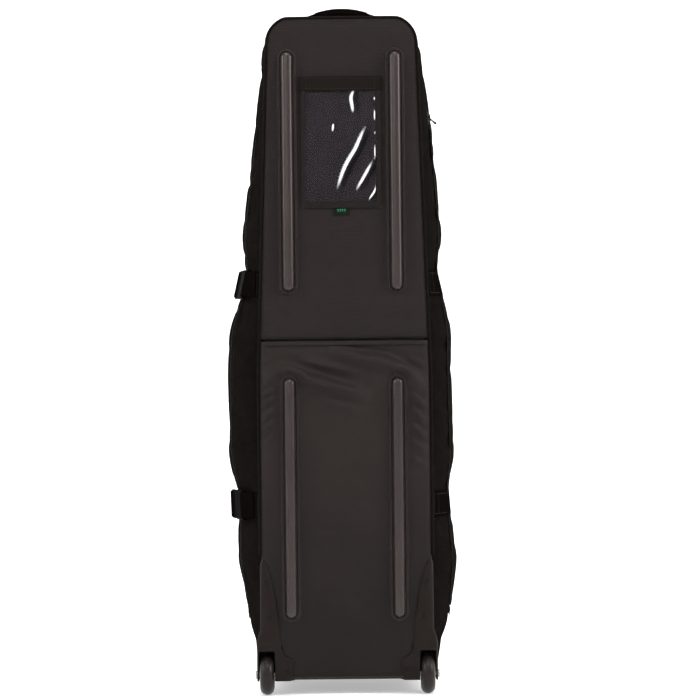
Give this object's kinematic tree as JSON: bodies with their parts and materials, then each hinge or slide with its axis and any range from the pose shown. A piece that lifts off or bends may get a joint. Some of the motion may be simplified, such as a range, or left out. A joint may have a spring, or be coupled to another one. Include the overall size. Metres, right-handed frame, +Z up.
{
  "type": "golf travel case",
  "caption": "Upright soft golf travel case with a padded wheeled back, skid rails, clear identity pocket, zip front, compression straps, shoe pocket and skate wheels.",
  "frame": {"origin": "on the ground, under the middle of the case", "axes": "+Z up along the case, -Y out of the wheeled back, +X to the right when the back faces the viewer"},
  "size_m": [0.4332, 0.3591, 1.306],
  "materials": {
    "axle_steel": "plated",
    "ballistic_weave": "matte gridded weave",
    "bearing_steel": "ground",
    "binding": "grosgrain",
    "board": "plain",
    "buckle_plastic": "satin moulded",
    "case_fabric": "plain nylon weave",
    "clear_vinyl": "clear glossy film",
    "coated_fabric": "coated, low sheen",
    "foot_rubber": "matte",
    "housing_plastic": "fine moulded texture",
    "hub_plastic": "satin",
    "lining": "light lining weave",
    "moulded_base": "textured",
    "piping": "smooth welt",
    "pull_cord": "moulded",
    "rail_plastic": "satin moulded",
    "screw_steel": "black",
    "tag": "woven label",
    "webbing": "ribbed webbing",
    "wheel_urethane": "satin",
    "zip_metal": "black enamel",
    "zip_tape": "knitted tape"
  },
  "bodies": {
    "case": {"back_board": "board", "back_lining": "lining", "back_piping": "piping", "base_board": "moulded_base", "buckle_socket_lower": "buckle_plastic", "buckle_socket_upper": "buckle_plastic", "case_zip_tape": "zip_tape", "foot_tray_front": "case_fabric", "foot_tray_left": "case_fabric", "foot_tray_right": "case_fabric", "front_feet": "foot_rubber", "hood_rear": "case_fabric", "housing_screws": "screw_steel", "id_backing": "case_fabric", "id_binding": "binding", "id_closure_strip": "webbing", "id_tag": "tag", "id_window": "clear_vinyl", "lower_back_panel": "coated_fabric", "rear_gusset_left": "case_fabric", "rear_gusset_right": "case_fabric", "skid_rail_lower_left": "rail_plastic", "skid_rail_lower_right": "rail_plastic", "skid_rail_upper_left": "rail_plastic", "skid_rail_upper_right": "rail_plastic", "strap_root_lower": "webbing", "strap_root_upper": "webbing", "strap_tail_lower": "webbing", "strap_tail_upper": "webbing", "tie_buckle": "buckle_plastic", "tie_straps": "webbing", "top_handle_grip": "webbing", "top_handle_legs": "webbing", "upper_back_panel": "ballistic_weave", "wheel_axles": "axle_steel", "wheel_housing_left": "housing_plastic", "wheel_housing_right": "housing_plastic"},
    "door": {"door_front": "case_fabric", "door_gusset_left": "case_fabric", "door_gusset_right": "case_fabric", "door_zip_tape": "zip_tape", "hood_front": "case_fabric", "pocket_pouch": "case_fabric", "pocket_zip_tape": "zip_tape", "strap_front_lower": "webbing", "strap_front_upper": "webbing"},
    "wheel_left": {"wheel_bearings_left": "bearing_steel", "wheel_hub_left": "hub_plastic", "wheel_tyre_left": "wheel_urethane"},
    "wheel_right": {"wheel_bearings_right": "bearing_steel", "wheel_hub_right": "hub_plastic", "wheel_tyre_right": "wheel_urethane"},
    "main_slider": {"main_zip_slider": "zip_metal"},
    "main_puller": {"main_zip_puller": "pull_cord"},
    "pocket_slider": {"pocket_zip_slider": "zip_metal"},
    "pocket_puller": {"pocket_zip_puller": "pull_cord"},
    "plug_upper": {"buckle_plug_upper": "buckle_plastic"},
    "plug_lower": {"buckle_plug_lower": "buckle_plastic"}
  },
  "joints": [
    {"name": "wheel_left_spin", "type": "hinge", "parent": "case", "child": "wheel_left", "pos_m": [-0.153, -0.136, 0.038], "axis": [1, 0, 0], "continuous": true},
    {"name": "wheel_right_spin", "type": "hinge", "parent": "case", "child": "wheel_right", "pos_m": [0.153, -0.136, 0.038], "axis": [1, 0, 0], "continuous": true},
    {"name": "front_door_hinge", "type": "hinge", "parent": "case", "child": "door", "pos_m": [0.224, -0.07, 0.65], "axis": [0, 0, -1], "range_deg": [0, 100]},
    {"name": "main_slider_travel", "type": "slide", "parent": "case", "child": "main_slider", "axis": [-0.1386, 0, 0.9903], "range_m": [0, 0.073]},
    {"name": "main_puller_swing", "type": "hinge", "parent": "main_slider", "child": "main_puller", "pos_m": [0.16772, -0.07, 1.10165], "axis": [0, 1, 0], "range_deg": [-78, 30]},
    {"name": "pocket_slider_travel", "type": "slide", "parent": "door", "child": "pocket_slider", "axis": [1, 0, 0], "range_m": [0, 0.156]},
    {"name": "pocket_puller_swing", "type": "hinge", "parent": "pocket_slider", "child": "pocket_puller", "pos_m": [-0.078, 0.1824, 0.673], "axis": [1, 0, 0], "range_deg": [0, 150]},
    {"name": "plug_upper_slide", "type": "slide", "parent": "door", "child": "plug_upper", "axis": [-0.2588, 0.9659, 0], "range_m": [0, 0.03]},
    {"name": "plug_lower_slide", "type": "slide", "parent": "door", "child": "plug_lower", "axis": [-0.342, 0.9397, 0], "range_m": [0, 0.03]}
  ]
}
